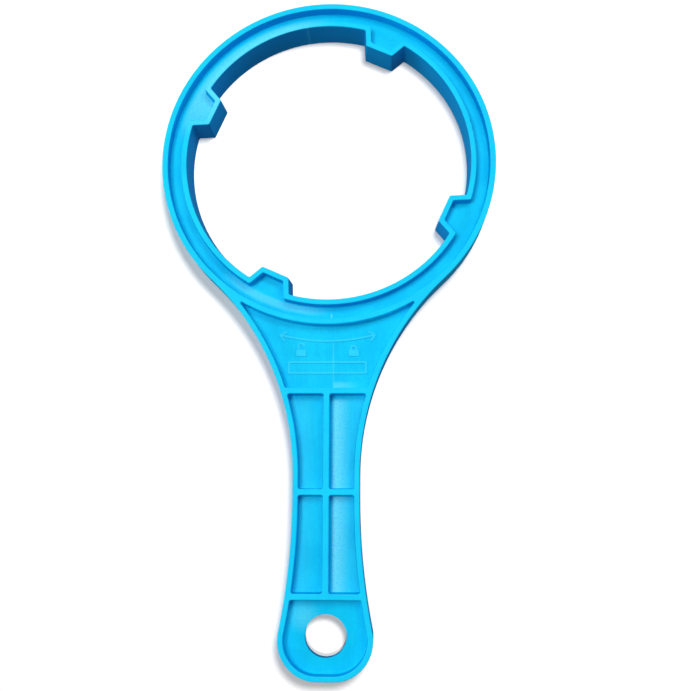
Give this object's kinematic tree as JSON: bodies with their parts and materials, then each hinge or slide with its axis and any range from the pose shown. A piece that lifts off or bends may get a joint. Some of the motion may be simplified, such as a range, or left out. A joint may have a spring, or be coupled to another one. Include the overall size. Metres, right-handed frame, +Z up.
{
  "type": "filter housing wrench",
  "caption": "Flat plastic wrench for a water filter housing: a ring with inward drive lugs, a flared neck and a ribbed grip ending in a hanging eye.",
  "frame": {"origin": "on the ring's axis, half way through its depth", "axes": "+Z up along the ring's axis, out of the wide end of its opening and the marked face; the grip runs along -Y; +X to the right of the grip seen from above with the ring uppermost"},
  "size_m": [0.13, 0.2598, 0.0128],
  "materials": {
    "blue_plastic": "satin, finely textured moulded surface"
  },
  "bodies": {
    "root": {"ring": "blue_plastic", "drive_lug_1": "blue_plastic", "drive_lug_2": "blue_plastic", "drive_lug_3": "blue_plastic", "drive_lug_4": "blue_plastic", "hanging_eye": "blue_plastic", "left_flange": "blue_plastic", "right_flange": "blue_plastic", "neck_panel": "blue_plastic", "upper_cross_rib": "blue_plastic", "middle_cross_rib": "blue_plastic", "lower_cross_rib": "blue_plastic", "upper_left_panel": "blue_plastic", "upper_centre_rib": "blue_plastic", "upper_right_panel": "blue_plastic", "lower_left_panel": "blue_plastic", "lower_centre_rib": "blue_plastic", "lower_right_panel": "blue_plastic", "direction_arrow": "blue_plastic", "open_mark": "blue_plastic", "closed_mark": "blue_plastic", "blank_label": "blue_plastic"}
  },
  "joints": []
}
